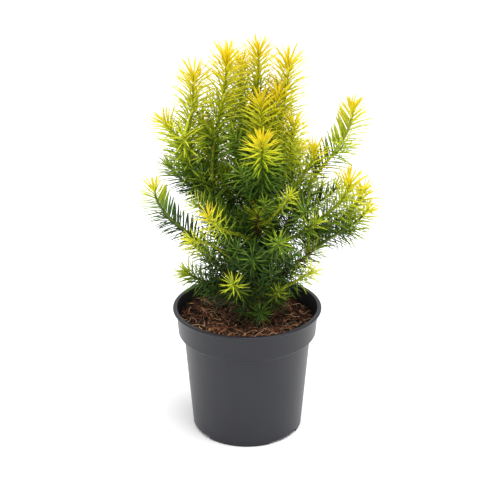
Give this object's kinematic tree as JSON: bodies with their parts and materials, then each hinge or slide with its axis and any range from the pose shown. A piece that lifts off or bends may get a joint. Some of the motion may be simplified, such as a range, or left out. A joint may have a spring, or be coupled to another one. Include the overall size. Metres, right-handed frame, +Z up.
{
  "type": "potted conifer",
  "caption": "Young golden conifer in a round nursery pot: a short trunk with rising boughs that carry upright shoots of needles, over rough compost.",
  "frame": {"origin": "centre of the pot's flat underside", "axes": "+Z up along the plant, -Y towards the side that the plant is seen from, +X to that viewer's right"},
  "size_m": [0.2404, 0.171, 0.4081],
  "materials": {
    "pot": "dark grey moulded plastic, satin",
    "compost": "coarse fibrous peat and bark compost",
    "bark": "thin reddish-brown bark",
    "golden_needles": "soft golden-yellow young needles",
    "lime_needles": "yellow-green needles",
    "green_needles": "satin mid-green needles"
  },
  "bodies": {
    "root": {"bough_back": "bark", "bough_back_left": "bark", "bough_back_right": "bark", "bough_centre": "bark", "bough_centre_right": "bark", "bough_left": "bark", "bough_left_back": "bark", "bough_left_low": "bark", "bough_right": "bark", "bough_right_back": "bark", "bough_right_low": "bark", "compost": "compost", "pot": "pot", "shoot_back_1": "golden_needles", "shoot_back_2": "lime_needles", "shoot_back_3": "golden_needles", "shoot_back_left_1": "lime_needles", "shoot_back_left_2": "lime_needles", "shoot_back_left_3": "golden_needles", "shoot_back_right_1": "lime_needles", "shoot_back_right_2": "lime_needles", "shoot_back_right_3": "golden_needles", "shoot_front_high": "golden_needles", "shoot_front_left": "lime_needles", "shoot_front_low": "green_needles", "shoot_front_middle": "green_needles", "shoot_front_right": "lime_needles", "shoot_front_rosette": "lime_needles", "shoot_front_small": "lime_needles", "shoot_inner_right": "golden_needles", "shoot_leader": "golden_needles", "shoot_left_back": "lime_needles", "shoot_left_droop": "lime_needles", "shoot_left_high": "golden_needles", "shoot_left_low": "lime_needles", "shoot_left_rim": "lime_needles", "shoot_left_small": "lime_needles", "shoot_low_back_1": "lime_needles", "shoot_low_back_2": "green_needles", "shoot_low_back_3": "lime_needles", "shoot_low_back_4": "green_needles", "shoot_low_back_5": "lime_needles", "shoot_low_right": "green_needles", "shoot_lowest": "green_needles", "shoot_right_back": "lime_needles", "shoot_right_front": "lime_needles", "shoot_right_high": "golden_needles", "shoot_right_inner": "green_needles", "shoot_right_low": "lime_needles", "shoot_right_outer": "lime_needles", "shoot_right_rim": "lime_needles", "shoot_top_back": "golden_needles", "shoot_top_centre": "golden_needles", "shoot_top_left": "golden_needles", "shoot_top_left_outer": "golden_needles", "shoot_top_right": "golden_needles", "shoot_upper_right": "golden_needles", "trunk": "bark"}
  },
  "joints": []
}
